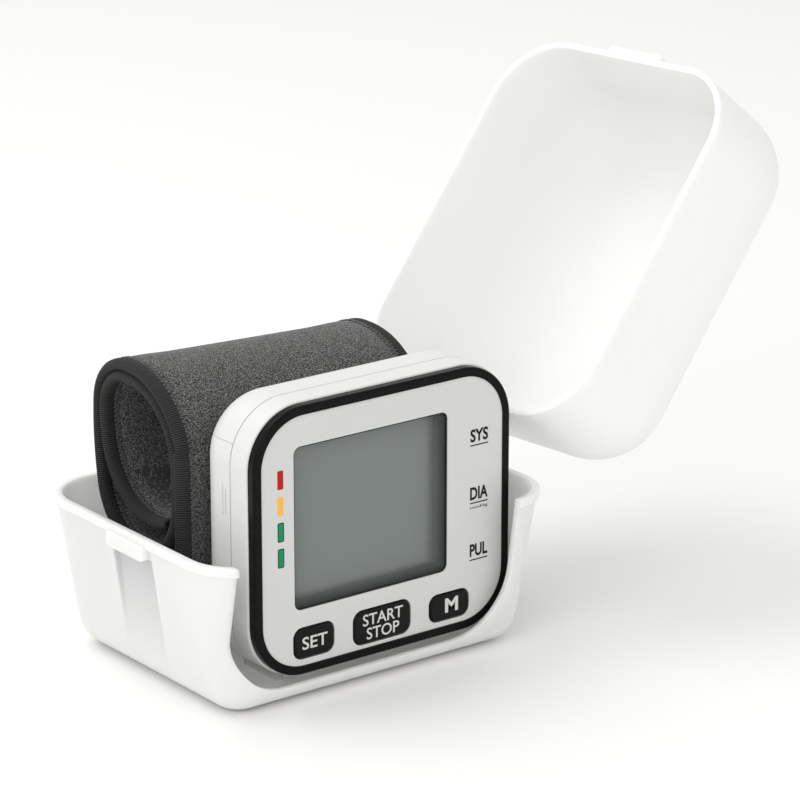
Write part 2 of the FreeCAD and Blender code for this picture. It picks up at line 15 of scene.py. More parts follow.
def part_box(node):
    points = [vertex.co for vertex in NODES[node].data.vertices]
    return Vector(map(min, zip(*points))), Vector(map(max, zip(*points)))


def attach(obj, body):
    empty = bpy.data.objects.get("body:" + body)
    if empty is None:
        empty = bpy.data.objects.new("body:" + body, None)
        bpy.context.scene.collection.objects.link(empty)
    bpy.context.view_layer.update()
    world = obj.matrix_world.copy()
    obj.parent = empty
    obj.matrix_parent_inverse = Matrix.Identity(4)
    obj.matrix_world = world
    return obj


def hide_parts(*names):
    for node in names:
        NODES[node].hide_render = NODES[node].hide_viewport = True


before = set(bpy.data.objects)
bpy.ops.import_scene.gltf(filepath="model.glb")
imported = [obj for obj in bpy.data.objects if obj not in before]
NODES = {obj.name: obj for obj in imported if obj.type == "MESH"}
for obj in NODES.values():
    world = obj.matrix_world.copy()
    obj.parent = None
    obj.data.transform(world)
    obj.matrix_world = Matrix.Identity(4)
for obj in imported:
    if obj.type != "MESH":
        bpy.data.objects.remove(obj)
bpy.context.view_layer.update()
MM = 0.001

# --- camera ---------------------------------------------------------------------------------
CAMERA_TARGET = Vector((7.21, -31.0, 67.36)) * MM
CAMERA_AZIMUTH, CAMERA_ELEVATION = math.radians(-37.3), math.radians(18.0)
CAMERA_DISTANCE = 877 * MM
CAMERA_LENS, CAMERA_SENSOR = 171.0, 36.0

# --- cuff: the same line as the CAD's ---------------------------------------------------------
CUFF_LOW, CUFF_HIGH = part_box("cuff_binding")
CUFF_X = (CUFF_LOW.x + CUFF_HIGH.x) / 2 / MM
CUFF_HALF = (CUFF_HIGH.x - CUFF_LOW.x) / 2 / MM
CUFF_FRONT, CUFF_START = CUFF_LOW.y / MM, 16.0
CUFF_PITCH, CUFF_THICK = 2.8, 2.4
CUFF_SPRING_Z = 51.2                    # where the straight front bends into the arch
CUFF_ARCH = ((22.2, 90.0), 2.2, (13.2, 86.0))
CUFF_BACK = (85.0, 14.0)
CUFF_INNER_BACK = (33.9, 19.3)
CUFF_FOOT = (19.7, 98.0)
SEAM_IN = 3.6                           # the edge seam's distance from the strap's edge


def object_from(name, mesh):
    piece = bpy.data.objects.new(name, mesh)
    bpy.context.scene.collection.objects.link(piece)
    return piece


def smooth(piece, angle=math.radians(40)):
    """Smooth shading, with edges sharper than angle kept sharp."""
    mesh = piece.data
    mesh.shade_smooth()
    work = bmesh.new()
    work.from_mesh(mesh)
    for edge in work.edges:
        edge.smooth = not edge.is_manifold or edge.calc_face_angle(0.0) < angle
    work.to_mesh(mesh)
    work.free()
    return piece


# --- materials ------------------------------------------------------------------------------
def shader(name, colour, roughness, **values):
    """A Principled material; values are socket names with _ for a space."""
    made = bpy.data.materials.new(name)
    made.use_nodes = True
    principled = made.node_tree.nodes["Principled BSDF"]
    principled.inputs["Base Color"].default_value = (*colour, 1.0)
    principled.inputs["Roughness"].default_value = roughness
    for key, value in values.items():
        socket = principled.inputs[key.replace("_", " ")]
        socket.default_value = (*value, 1.0) if socket.type == "RGBA" else value
    return made


def node(made, kind, **settings):
    new = made.node_tree.nodes.new("ShaderNode" + kind)
    for key, value in settings.items():
        if hasattr(new, key):
            setattr(new, key, value)
        else:
            new.inputs[key.replace("_", " ")].default_value = value
    return new


def wire(made, source, target):
    made.node_tree.links.new(source, target)


def in_part(made):
    """Places in the part's own frame, for a material of a mesh whose origin is the frame's."""
    return node(made, "TexCoord").outputs["Object"]


def axes(made):
    """The X, Y and Z outputs of a place in the part's own frame."""
    split = node(made, "SeparateXYZ")
    wire(made, in_part(made), split.inputs["Vector"])
    return split.outputs


def principled_input(made, name):
    return made.node_tree.nodes["Principled BSDF"].inputs[name]


def noise_texture(made, size_mm, detail=2.0):
    """Noise whose grains are about size_mm across."""
    texture = node(made, "TexNoise", Scale=1.0 / (size_mm * MM), Detail=detail)
    wire(made, in_part(made), texture.inputs["Vector"])
    return texture.outputs["Fac"]


def rise(made, source, start, end, **settings):
    """0 where source is start and 1 where it is end, held at 0 and 1 beyond them."""
    reach = node(made, "MapRange", **settings)
    reach.inputs["From Min"].default_value = start
    reach.inputs["From Max"].default_value = end
    wire(made, source, reach.inputs["Value"])
    return reach.outputs["Result"]


def combine(made, operation, sources):
    """All the sources joined by one Math operation, in turn."""
    total = sources[0]
    for source in sources[1:]:
        join = node(made, "Math", operation=operation)
        wire(made, total, join.inputs[0])
        wire(made, source, join.inputs[1])
        total = join.outputs[0]
    return total


def ramp(made, source, low, high, dark, light):
    """A colour that goes from dark to light as source goes from low to high."""
    scale = node(made, "ValToRGB")
    first, last = scale.color_ramp.elements
    first.position, first.color = low, (*dark, 1.0)
    last.position, last.color = high, (*light, 1.0)
    wire(made, source, scale.inputs["Fac"])
    return scale.outputs["Color"]


def grain(made, size_mm, depth_mm, strength=1.0, source=None):
    """Adds fine relief to a material."""
    source = source or noise_texture(made, size_mm)
    bump = node(made, "Bump", Strength=strength, Distance=depth_mm * MM)
    wire(made, source, bump.inputs["Height"])
    wire(made, bump.outputs["Normal"], principled_input(made, "Normal"))
    return made


def painted(made, source, low, high, dark, light):
    """Gives a material a colour that goes from dark to light as source goes from low to high."""
    wire(made, ramp(made, source, low, high, dark, light), principled_input(made, "Base Color"))
    return made


def mottle(made, size_mm, dark, light):
    """Gives a material a colour that wanders between two tones."""
    return painted(made, noise_texture(made, size_mm), 0.35, 0.65, dark, light)


def vary_roughness(made, size_mm, low, high):
    reach = node(made, "MapRange")
    reach.inputs["To Min"].default_value = low
    reach.inputs["To Max"].default_value = high
    wire(made, noise_texture(made, size_mm), reach.inputs["Value"])
    wire(made, reach.outputs["Result"], principled_input(made, "Roughness"))
    return made


def frosted(name, colour, roughness, reach_mm):
    """Frosted polypropylene: light scatters about reach_mm inside it, so thin walls glow."""
    made = shader(name, colour, roughness, Subsurface_Weight=1.0, Subsurface_Radius=(1.0, 1.0, 1.0),
                  Subsurface_Scale=reach_mm * MM, IOR=1.32, Specular_IOR_Level=0.4)
    return grain(made, 0.35, 0.012, 0.25)


def charcoal(name, dark, light, size_mm, low, high):
    """Brushed knit: a dark ground with pale fibres, and a soft sheen."""
    made = shader(name, dark, 0.92, Sheen_Weight=0.2, Sheen_Roughness=0.45, Specular_IOR_Level=0.2)
    fibres = noise_texture(made, size_mm, 3.0)
    painted(made, fibres, low, high, dark, light)
    return grain(made, size_mm, 0.16, 0.9, source=fibres)


def ribbed(name, dark, light, pitch_mm):
    """Edge tape: threads laid side by side across its width, along the piece's own u coordinate."""
    made = shader(name, dark, 0.88, Sheen_Weight=0.06, Sheen_Roughness=0.4, Specular_IOR_Level=0.15)
    place = node(made, "UVMap")
    wave = node(made, "TexWave", wave_type="BANDS", bands_direction="X", Distortion=1.2)
    wave.inputs["Scale"].default_value = 1.0 / (pitch_mm * 3.14)
    wave.inputs["Detail"].default_value = 1.0
    wire(made, place.outputs["UV"], wave.inputs["Vector"])
    painted(made, wave.outputs["Fac"], 0.25, 0.85, dark, light)
    return grain(made, 0.3, 0.14, 0.8, source=wave.outputs["Fac"])


def painted_cuff_shade(made, clear, shaded, middle_y, width, low_z, high_z, top_z):
    """Painted shade in place of the dark cuff seen through the left wall at the latch's recess, less and less
    towards the base.

    The recess is width mm wide about middle_y; the painted shade rises from low_z to high_z and ends at
    top_z.
    """
    place = axes(made)
    offset = node(made, "Math", operation="SUBTRACT")
    wire(made, place["Y"], offset.inputs[0])
    offset.inputs[1].default_value = middle_y * MM
    distance = node(made, "Math", operation="ABSOLUTE")
    wire(made, offset.outputs[0], distance.inputs[0])
    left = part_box("case_tub")[0].x
    painted_shade_masks = [rise(made, distance.outputs[0], (width / 2 + 0.2) * MM, (width / 2 - 0.2) * MM),
             rise(made, place["X"], left + 14 * MM, left + 12 * MM),
             rise(made, place["Z"], low_z * MM, high_z * MM),
             rise(made, place["Z"], top_z * MM, (top_z - 0.4) * MM)]
    return painted(made, combine(made, "MULTIPLY", painted_shade_masks), 0.0, 1.0, clear, shaded)


CASE_TONE = (0.78, 0.78, 0.772)
# The case's colour holds a painted shade at the latch's recess, standing for the dark cuff seen through the
# wall.
CASE_WITH_PAINTED_SHADE = painted_cuff_shade(frosted("frosted_case_painted_shade", CASE_TONE, 0.42, 4.0), CASE_TONE, (0.56, 0.575, 0.58),
                    middle_y=-1.5, width=17.0, low_z=6.0, high_z=30.0, top_z=33.8)
LID = frosted("frosted_lid", (0.825, 0.825, 0.817), 0.40, 3.0)
WHITE = vary_roughness(grain(shader("satin_white", (0.71, 0.71, 0.695), 0.36, Specular_IOR_Level=0.45),
                             0.25, 0.006, 0.2), 6.0, 0.32, 0.42)
RING = vary_roughness(shader("gloss_black", (0.004, 0.004, 0.004), 0.2, Specular_IOR_Level=0.1),
                      4.0, 0.13, 0.22)
PANEL = grain(mottle(shader("panel_grey", (0.6, 0.61, 0.6), 0.4), 9.0, (0.612, 0.625, 0.610),
                     (0.627, 0.638, 0.625)), 0.3, 0.005, 0.2)
BUTTON = grain(vary_roughness(shader("button_black", (0.006, 0.006, 0.006), 0.4, Specular_IOR_Level=0.13),
                              3.0, 0.32, 0.45), 0.25, 0.008, 0.3)
PRINT_DARK = shader("print_dark", (0.012, 0.012, 0.013), 0.55, Specular_IOR_Level=0.15)
PRINT_PALE = shader("print_pale", (0.62, 0.62, 0.6), 0.42)
PANE = shader("clear_pane", (1.0, 1.0, 1.0), 0.03, Transmission_Weight=1.0, IOR=1.03)
STEEL = vary_roughness(shader("bright_steel", (0.62, 0.62, 0.6), 0.3, Metallic=1.0), 2.0, 0.22, 0.38)
COPPER = shader("copper_winding", (0.55, 0.25, 0.12), 0.4, Metallic=1.0)
INNER = grain(shader("inner_plastic", (0.55, 0.55, 0.53), 0.5), 0.5, 0.01, 0.3)
RUBBER = grain(shader("silicone", (0.34, 0.34, 0.34), 0.6), 0.4, 0.01, 0.3)
CHIP = grain(shader("chip_black", (0.02, 0.02, 0.021), 0.5), 0.2, 0.01, 0.4)
GLASS = shader("lcd_glass", (0.22, 0.25, 0.24), 0.12, Coat_Weight=0.4)
FABRIC = charcoal("cuff_knit", (0.012, 0.012, 0.0118), (0.24, 0.24, 0.235), size_mm=0.27, low=0.44, high=0.66)
TAPE = ribbed("edge_tape", (0.009, 0.009, 0.0088), (0.050, 0.050, 0.049), 0.55)
THREAD = mottle(shader("stitch_thread", (0.05, 0.05, 0.05), 0.7, Sheen_Weight=0.1), 0.3,
                (0.035, 0.035, 0.034), (0.15, 0.15, 0.147))
FLOOR = shader("pale_floor", (0.90, 0.896, 0.884), 0.9, Specular_IOR_Level=0.1)


def circuit_board():
    """Green solder mask with paler copper tracks."""
    made = shader("circuit_board", (0.01, 0.09, 0.04), 0.35)
    turn = node(made, "Mapping")
    turn.inputs["Rotation"].default_value = (math.radians(90), 0, 0)
    wire(made, in_part(made), turn.inputs["Vector"])
    tracks = node(made, "TexBrick", Scale=320.0, Mortar_Size=0.03)
    tracks.inputs["Color1"].default_value = (0.010, 0.085, 0.038, 1)
    tracks.inputs["Color2"].default_value = (0.012, 0.105, 0.046, 1)
    tracks.inputs["Mortar"].default_value = (0.03, 0.19, 0.085, 1)
    wire(made, turn.outputs["Vector"], tracks.inputs["Vector"])
    wire(made, tracks.outputs["Color"], principled_input(made, "Base Color"))
    return made


def cell_wrap():
    """A battery's sleeve: dark body, with a bright band at the positive end."""
    made = shader("cell_wrap", (0.05, 0.05, 0.05), 0.3, Coat_Weight=0.3)
    low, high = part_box("battery_cells")
    height = rise(made, axes(made)["Z"], low.z, high.z)
    return painted(made, height, 0.70, 0.705, (0.03, 0.035, 0.05), (0.62, 0.42, 0.18))


WINDOW_EDGE_SHADE = (0.165, 0.18, 0.175)      # painted shade: the dark tone that the seal and the glass share where they meet


def window_seal_painted_shade():
    """Dark at the front rim of the window's opening, then painted light that grows deeper in, where the
    opening lies in shade, up to the glass edge's painted shade at the glass.
    """
    made = shader("window_seal_painted_shade", WINDOW_EDGE_SHADE, 0.8, Specular_IOR_Level=0.1)
    depth = rise(made, axes(made)["Y"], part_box("display_window")[0].y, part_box("lcd_front_glass")[0].y)
    # painted light: lighter with depth, to make up for the shade deep in the opening
    return painted(made, depth, 0.03, 0.9, (0.055, 0.058, 0.057), WINDOW_EDGE_SHADE)


def lcd_face_painted_shade():
    """Grey display glass with a painted shade that darkens it towards its right and lower edges, where the
    window's reveal shades it.
    """
    made = shader("lcd_face_painted_shade", (0.22, 0.245, 0.238), 0.35, Specular_IOR_Level=0.3)
    low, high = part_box("display_window")
    place = axes(made)
    right = rise(made, place["X"], high.x - 1.3 * MM, high.x - 4.2 * MM, interpolation_type="SMOOTHSTEP")
    bottom = rise(made, place["Z"], low.z + 1.3 * MM, low.z + 3.0 * MM, interpolation_type="SMOOTHSTEP")
    # painted shade: darkest at the right and lower edges of the glass
    painted_edge_shade = combine(made, "MINIMUM", [right, bottom])
    return painted(made, painted_edge_shade, 0.0, 1.0, WINDOW_EDGE_SHADE, (0.219, 0.244, 0.237))


def bar_colour(name, colour):
    return grain(shader(name, colour, 0.4, Specular_IOR_Level=0.15), 0.3, 0.004, 0.2)


def hook_tape():
    made = shader("hook_tape", (0.02, 0.02, 0.02), 0.7, Sheen_Weight=0.3)
    cells = node(made, "TexVoronoi", Scale=1.0 / (0.9 * MM))
    wire(made, in_part(made), cells.inputs["Vector"])
    painted(made, cells.outputs["Distance"], 0.05, 0.45, (0.15, 0.15, 0.15), (0.018, 0.018, 0.018))
    return grain(made, 0.9, 0.3, 1.0, source=cells.outputs["Distance"])


HOOKS = hook_tape()
PAINTED_SEAL = window_seal_painted_shade()
FINISHES = (
    (CASE_WITH_PAINTED_SHADE, "case_tub"),
    (LID, "case_lid"),
    (RING, "trim_ring"),
    (PANEL, "face_panel"),
    (WHITE, "front_housing rear_housing battery_door"),
    (bar_colour("bar_red", (0.47, 0.010, 0.012)), "bar_red"),
    (bar_colour("bar_amber", (0.95, 0.47, 0.075)), "bar_amber"),
    (bar_colour("bar_green", (0.004, 0.27, 0.10)), "bar_green"),
    (BUTTON, "set_button start_stop_button memory_button"),
    (lcd_face_painted_shade(), "lcd_front_glass"),
    (GLASS, "lcd_rear_glass"),
    (STEEL, "hinge_pin housing_screws cuff_plate_screws battery_springs spring_plate button_contacts"),
    (STEEL, "pressure_sensor pump_motor valve_plunger lcd_reflector"),
    (COPPER, "valve_coil"),
    (INNER, "pump_rotor lcd_holder battery_tray pump_head valve_cap air_manifold cuff_plate air_nozzle"),
    (RUBBER, "zebra_strip key_mat pump_diaphragm valve_seal valve_hose pump_hose"),
    (circuit_board(), "main_pcb"),
    (CHIP, "controller_chip small_chips buzzer"),
    (cell_wrap(), "battery_cells"),
)


def finish_nodes():
    for made, names in FINISHES:
        for name in names.split():
            mesh = NODES[name].data
            mesh.materials.clear()
            mesh.materials.append(made)


# --- cuff -----------------------------------------------------------------------------------
def cuff_steps():
    """The rolled strap as straight lengths and turns (radius, angle), from the monitor's back on."""
    outer = [CUFF_SPRING_Z - CUFF_START] + list(CUFF_ARCH) + [CUFF_BACK]
    lean = sum(step[1] for step in outer if isinstance(step, tuple)) - 180.0
    back_y = walk(outer, 0.5)[0][-1][0]
    bottom = (back_y - CUFF_FRONT - CUFF_PITCH) / (1 + math.cos(math.radians(lean)))
    outer.append((bottom, 180.0 - lean))
    rise = CUFF_SPRING_Z - walk(outer, 0.5)[0][-1][1]
    front, flat, back = CUFF_ARCH
    inner = [rise, (front[0] - CUFF_PITCH, front[1]), flat, (back[0] - CUFF_PITCH, back[1])]
    return outer + inner + [CUFF_INNER_BACK, CUFF_FOOT]


def walk(steps, spacing):
    """Points and outward normals in Y and Z along the strap's outer face, about spacing mm apart."""
    heading, here = math.radians(90), np.array([CUFF_FRONT, CUFF_START])
    points, normals = [here], [np.array([-1.0, 0.0])]
    for step in steps:
        bend = isinstance(step, tuple)
        angle = math.radians(step[1]) if bend else 0.0
        length = step[0] * angle if bend else step
        count = max(2, round(length / spacing))
        inward = np.array([math.sin(heading), -math.cos(heading)])
        for k in range(1, count + 1):
            share = k / count
            turned = heading - angle * share
            out = -np.array([math.sin(turned), -math.cos(turned)])
            if bend:
                place = here + step[0] * inward + step[0] * out
            else:
                place = here + np.array([math.cos(heading), math.sin(heading)]) * length * share
            points.append(place)
            normals.append(out)
        here, heading = points[-1], heading - angle
    return np.array(points), np.array(normals)


LINE, OUTWARD = walk(cuff_steps(), 1.6)
ALONG = np.concatenate([[0.0], np.cumsum(np.linalg.norm(np.diff(LINE, axis=0), axis=1))])


def lower_to_right(x, z):
    """The top of the roll sits slightly lower at its +X end."""
    share = np.clip((x + 32.0) / 64.0, 0, 1.2)
    return z - 2.9 * share * np.clip((z - 40.0) / 34.0, 0, 1) ** 1.5


def on_cuff(i, x, out):
    """A point of the roll in metres, at sample i: x mm from its middle, out mm beyond its outer face."""
    y, z = LINE[i] + OUTWARD[i] * out
    edge = max(0.0, abs(x) - (CUFF_HALF - 9.0)) / 9.0
    if ALONG[i] < 40:
        y += 1.6 * edge ** 2            # the front's free edges curl away from the monitor
    x += CUFF_X
    return (x * MM, y * MM, float(lower_to_right(x, z)) * MM)


def swept(name, outline, first=0, last=None, round_ends=0.0):
    """A closed outline of (x, out) points carried along the roll, with u along it and v round the outline."""
    last = len(LINE) - 1 if last is None else last
    work = bmesh.new()
    uv = work.loops.layers.uv.new("UVMap")
    rings = []
    middle = -CUFF_THICK / 2
    for i in range(first, last + 1):
        near = min(ALONG[i] - ALONG[first], ALONG[last] - ALONG[i])
        squeeze = math.sqrt(1 - (1 - min(1.0, near / round_ends + 0.12)) ** 2) if round_ends else 1.0
        rings.append([work.verts.new(on_cuff(i, x, middle + (out - middle) * squeeze)) for x, out in outline])
    count = len(outline)
    lengths = [0.0]
    for k in range(count):
        a, b = outline[k], outline[(k + 1) % count]
        lengths.append(lengths[-1] + math.dist(a, b))
    for i in range(len(rings) - 1):
        for k in range(count):
            j = (k + 1) % count
            face = work.faces.new((rings[i][k], rings[i][j], rings[i + 1][j], rings[i + 1][k]))
            corners = ((i, k), (i, k + 1), (i + 1, k + 1), (i + 1, k))
            for loop, (a, b) in zip(face.loops, corners):
                loop[uv].uv = (ALONG[first + a], lengths[b])
    for ring in (rings[0][::-1], rings[-1]):
        work.faces.new(ring)
    bmesh.ops.recalc_face_normals(work, faces=work.faces)
    mesh = bpy.data.meshes.new(name)
    work.to_mesh(mesh)
    work.free()
    return object_from(name, mesh)


def strap_outline():
    """Across the strap: padded between the edge seams, pulled in at each, thinner at its rounded edges."""
    def relief(x):
        inside = CUFF_HALF - SEAM_IN - abs(x)
        pinch = 0.28 * math.exp(-(inside / 0.9) ** 2)
        return -pinch - (0.1 if inside < 0 else 0.0)
    reach = CUFF_HALF - 0.5
    inner = [reach - 6.0, reach - 4.6, reach - 3.8, reach - 3.1, reach - 2.4, reach - 1.2, reach - 0.4]
    across = [-x for x in reversed(inner)] + list(np.linspace(-(reach - 8.5), reach - 8.5, 25)) + inner
    outer = [(x, relief(x)) for x in across]
    rim = [(reach, -CUFF_THICK * 0.3), (reach, -CUFF_THICK * 0.7)]
    under = [(x, -CUFF_THICK - relief(x)) for x in reversed(across)]
    other = [(-x, out) for x, out in reversed(rim)]
    return outer + rim + under + other


def binding_outline(side):
    """The tape folded round one edge: a rolled rim, then a flat band that ends at the seam."""
    top = 0.16
    half = CUFF_THICK / 2 + top
    start = CUFF_HALF - SEAM_IN + 0.5
    points = [(start, -0.35), (start + 0.15, top * 0.6), (start + 0.8, top), (CUFF_HALF - half, top)]
    for k in range(1, 8):
        a = math.pi * k / 8
        points.append((CUFF_HALF - half + half * math.sin(a), -CUFF_THICK / 2 + half * math.cos(a)))
    low = -CUFF_THICK - top
    points += [(CUFF_HALF - half, low), (start + 0.8, low), (start + 0.15, -CUFF_THICK - top * 0.6),
               (start, -CUFF_THICK + 0.35)]
    return [(side * x, out) for x, out in points]


def tube(name, points, radius, made):
    """A thin thread along points, as a mesh."""
    curve = bpy.data.curves.new(name, "CURVE")
    curve.dimensions = "3D"
    spline = curve.splines.new("POLY")
    spline.points.add(len(points) - 1)
    for point, place in zip(spline.points, points):
        point.co = (*place, 1.0)
    curve.bevel_depth = radius
    curve.bevel_resolution = 1
    curve.use_fill_caps = True
    holder = bpy.data.objects.new("holder", curve)
    mesh = bpy.data.meshes.new_from_object(holder)
    bpy.data.objects.remove(holder)
    mesh.name = name
    mesh.materials.clear()
    mesh.materials.append(made)
    mesh.shade_smooth()
    return object_from(name, mesh)


def along_cuff(s, x, out):
    """Like on_cuff, for a length s mm along the strap."""
    i = int(np.clip(np.searchsorted(ALONG, s) - 1, 0, len(LINE) - 2))
    t = float((s - ALONG[i]) / (ALONG[i + 1] - ALONG[i]))
    a, b = Vector(on_cuff(i, x, out)), Vector(on_cuff(i + 1, x, out))
    return a.lerp(b, t)


def zigzag(name, side, out):
    """An overlock stitch along one edge seam, on the face that lies out mm from the strap's outer face."""
    pitch, width, bite = 1.15, 1.25, 0.18
    seam = CUFF_HALF - SEAM_IN - 0.1
    points = []
    s = 1.5
    while s < ALONG[-1] - 1.5:
        for start, dx in ((0.0, -width / 2), (pitch / 2, width / 2)):
            points.append(along_cuff(s + start, side * (seam + dx), out))
            points.append(along_cuff(s + start + bite, side * (seam + dx), out))
        s += pitch
    return tube(name, points, 0.17 * MM, THREAD)


SIM_SCALE = 25.0                        # cloth is simulated at this many times its size


def swell(piece, pinned, pressure, cap):
    """Air pressure puffs the piece out between its pinned points; no point moves more than cap metres."""
    scene = bpy.context.scene
    mesh = piece.data
    rest = np.array([v.co for v in mesh.vertices], float)
    mesh.transform(Matrix.Scale(SIM_SCALE, 4))
    group = piece.vertex_groups.new(name="pinned")
    group.add([int(i) for i in np.flatnonzero(pinned)], 1.0, "REPLACE")
    cloth = piece.modifiers.new("swell", "CLOTH")
    cloth.settings.quality = 6
    cloth.settings.vertex_group_mass = group.name
    cloth.settings.use_pressure = True
    cloth.settings.uniform_pressure_force = pressure
    cloth.settings.tension_stiffness = 12
    cloth.settings.compression_stiffness = 12
    cloth.settings.bending_stiffness = 0.4
    cloth.settings.effector_weights.gravity = 0
    cloth.point_cache.frame_start, cloth.point_cache.frame_end = 1, 20
    for step in range(1, 21):
        scene.frame_set(step)
    ready = piece.evaluated_get(bpy.context.evaluated_depsgraph_get())
    moved = np.array([v.co for v in ready.data.vertices], float) / SIM_SCALE - rest
    reach = np.linalg.norm(moved, axis=1)
    moved *= np.minimum(1.0, cap / np.maximum(reach, 1e-12))[:, None]
    piece.modifiers.remove(cloth)
    piece.vertex_groups.clear()
    mesh.vertices.foreach_set("co", (rest + moved).astype(np.float32).ravel())
    mesh.update()
    scene.frame_set(1)


def build_cuff():
    strap = swept("cuff_strap", strap_outline(), round_ends=2.0)
    strap.data.materials.append(FABRIC)
    x = np.array([v.co.x for v in strap.data.vertices]) / MM - CUFF_X
    seam = np.abs(np.abs(x) - (CUFF_HALF - SEAM_IN)) < 0.9
    ends = np.abs(x) > CUFF_HALF - SEAM_IN
    count = len(strap_outline())
    ring = np.arange(len(x)) // count
    plate = (ALONG[ring] < 44) | (ALONG[ring] > ALONG[-1] - 4)
    swell(strap, seam | ends | plate, 9.0, 0.32 * MM)
    smooth(strap, math.radians(60))
    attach(strap, "monitor")
    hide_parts("cuff_outer_fabric", "cuff_inner_fabric", "cuff_curler", "cuff_bladder")
    for side, word in ((-1, "left"), (1, "right")):
        tape = swept("cuff_tape_" + word, binding_outline(side), round_ends=1.2)
        tape.data.materials.append(TAPE)
        smooth(tape, math.radians(70))
        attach(tape, "monitor")
        if side < 0:
            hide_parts("cuff_binding")
        for face, out in (("outer", 0.02), ("inner", -CUFF_THICK - 0.02)):
            stitches = zigzag(f"cuff_overlock_{word}_{face}", side, out)
            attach(stitches, "monitor")


def build_hook_patch():
    """The hook side of the fastener, a thin curved sheet on the inside of the free end."""
    low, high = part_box("cuff_hook_patch")
    half = (high.x - low.x) / 2 / MM
    first = int(np.searchsorted(ALONG, ALONG[-1] - 26.0))
    last = int(np.searchsorted(ALONG, ALONG[-1] - 5.0))
    top, bottom = -CUFF_THICK - 0.05, -CUFF_THICK - 0.75
    across = list(np.linspace(-half, half, 24))
    outline = [(x, top) for x in across]
    outline += [(x, bottom if abs(x) < half - 0.5 else bottom + 0.2) for x in reversed(across)]
    patch = swept("cuff_hook_tape", outline, first, last)
    patch.data.materials.append(HOOKS)
    smooth(patch)
    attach(patch, "monitor")
    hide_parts("cuff_hook_patch")
    path = [Vector(on_cuff(i, 0.0, (top + bottom) / 2)) for i in range(first, last + 1)]


# --- display and lettering ------------------------------------------------------------------
def rounded(x0, x1, z0, z1, radius, steps=8):
    """The corners of a rounded rectangle in X and Z, counter-clockwise seen from the front."""
    points = []
    for cx, cz, start in ((x1 - radius, z1 - radius, 0), (x0 + radius, z1 - radius, 90),
                          (x0 + radius, z0 + radius, 180), (x1 - radius, z0 + radius, 270)):
        for k in range(steps + 1):
            a = math.radians(start + 90 * k / steps)
            points.append((cx + radius * math.cos(a), cz + radius * math.sin(a)))
    return points


def inset_outline(box, width, radius):
    x0, x1, z0, z1 = box
    return rounded(x0 + width, x1 - width, z0 + width, z1 - width, max(radius - width, 0.05 * MM))


def frame_ring(name, box, y0, y1, width, radius, made, body, back_width=None):
    """A closed band with the outline of a rounded rectangle: box is (x0, x1, z0, z1), width is inwards."""
    outer = inset_outline(box, 0.0, radius)
    front = inset_outline(box, width, radius)
    back = inset_outline(box, back_width or width, radius)
    work = bmesh.new()
    rows = [[work.verts.new((x, y, z)) for x, z in outline]
            for outline, y in ((outer, y0), (front, y0), (back, y1), (outer, y1))]
    count = len(outer)
    for r in range(4):
        for k in range(count):
            j = (k + 1) % count
            work.faces.new((rows[r][k], rows[r][j], rows[(r + 1) % 4][j], rows[(r + 1) % 4][k]))
    bmesh.ops.recalc_face_normals(work, faces=work.faces)
    mesh = bpy.data.meshes.new(name)
    work.to_mesh(mesh)
    work.free()
    mesh.materials.append(made)
    piece = smooth(object_from(name, mesh))
    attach(piece, body)
    return piece


def slab(name, box, y0, y1, radius, bevel, made, body):
    """A plate with a rounded outline and a softened front edge."""
    x0, x1, z0, z1 = box
    work = bmesh.new()
    front = work.faces.new([work.verts.new((x, y1, z)) for x, z in rounded(x0, x1, z0, z1, radius)])
    grown = bmesh.ops.extrude_face_region(work, geom=[front])
    raised = [v for v in grown["geom"] if isinstance(v, bmesh.types.BMVert)]
    bmesh.ops.translate(work, verts=raised, vec=(0, y0 - y1, 0))
    edge = [e for e in work.edges if all(abs(v.co.y - y0) < 1e-7 for v in e.verts)]
    bmesh.ops.bevel(work, geom=edge, offset=bevel, segments=3, profile=0.5, affect="EDGES")
    bmesh.ops.recalc_face_normals(work, faces=work.faces)
    mesh = bpy.data.meshes.new(name)
    work.to_mesh(mesh)
    work.free()
    mesh.materials.append(made)
    piece = smooth(object_from(name, mesh), math.radians(30))
    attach(piece, body)
    return piece


def build_display():
    low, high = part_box("display_window")
    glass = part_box("lcd_front_glass")[0].y
    edge = 0.3 * MM
    outline = (low.x, high.x, low.z, high.z)
    inset = edge + 0.06 * MM
    inside = (low.x + inset, high.x - inset, low.z + inset, high.z - inset)
    pane = slab("window_pane", inside, low.y, low.y + 0.4 * MM, 1.6 * MM, 0.15 * MM, PANE, "monitor")
    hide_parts("display_window")
    seam = low.y + 0.42 * MM
    frame_ring("window_rim", outline, low.y - 0.02 * MM, seam, edge, 1.8 * MM, PRINT_DARK, "monitor")
    # The seal carries painted light deeper in and painted shade where it meets the glass.
    frame_ring("window_seal_painted_shade", outline, seam, glass - 0.02 * MM, edge, 1.8 * MM, PAINTED_SEAL, "monitor",
               back_width=1.3 * MM)
    for i, z in enumerate((42.2, 35.9)):
        bar_low, bar_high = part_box("bar_green")
        box = (bar_low.x - 0.06 * MM, bar_high.x + 0.06 * MM, (z - 2.31) * MM, (z + 2.31) * MM)
        frame_ring(f"bar_outline_{i}", box, bar_low.y - 0.03 * MM, bar_low.y + 0.3 * MM, 0.2 * MM, 0.25 * MM,
                   PRINT_DARK, "monitor")


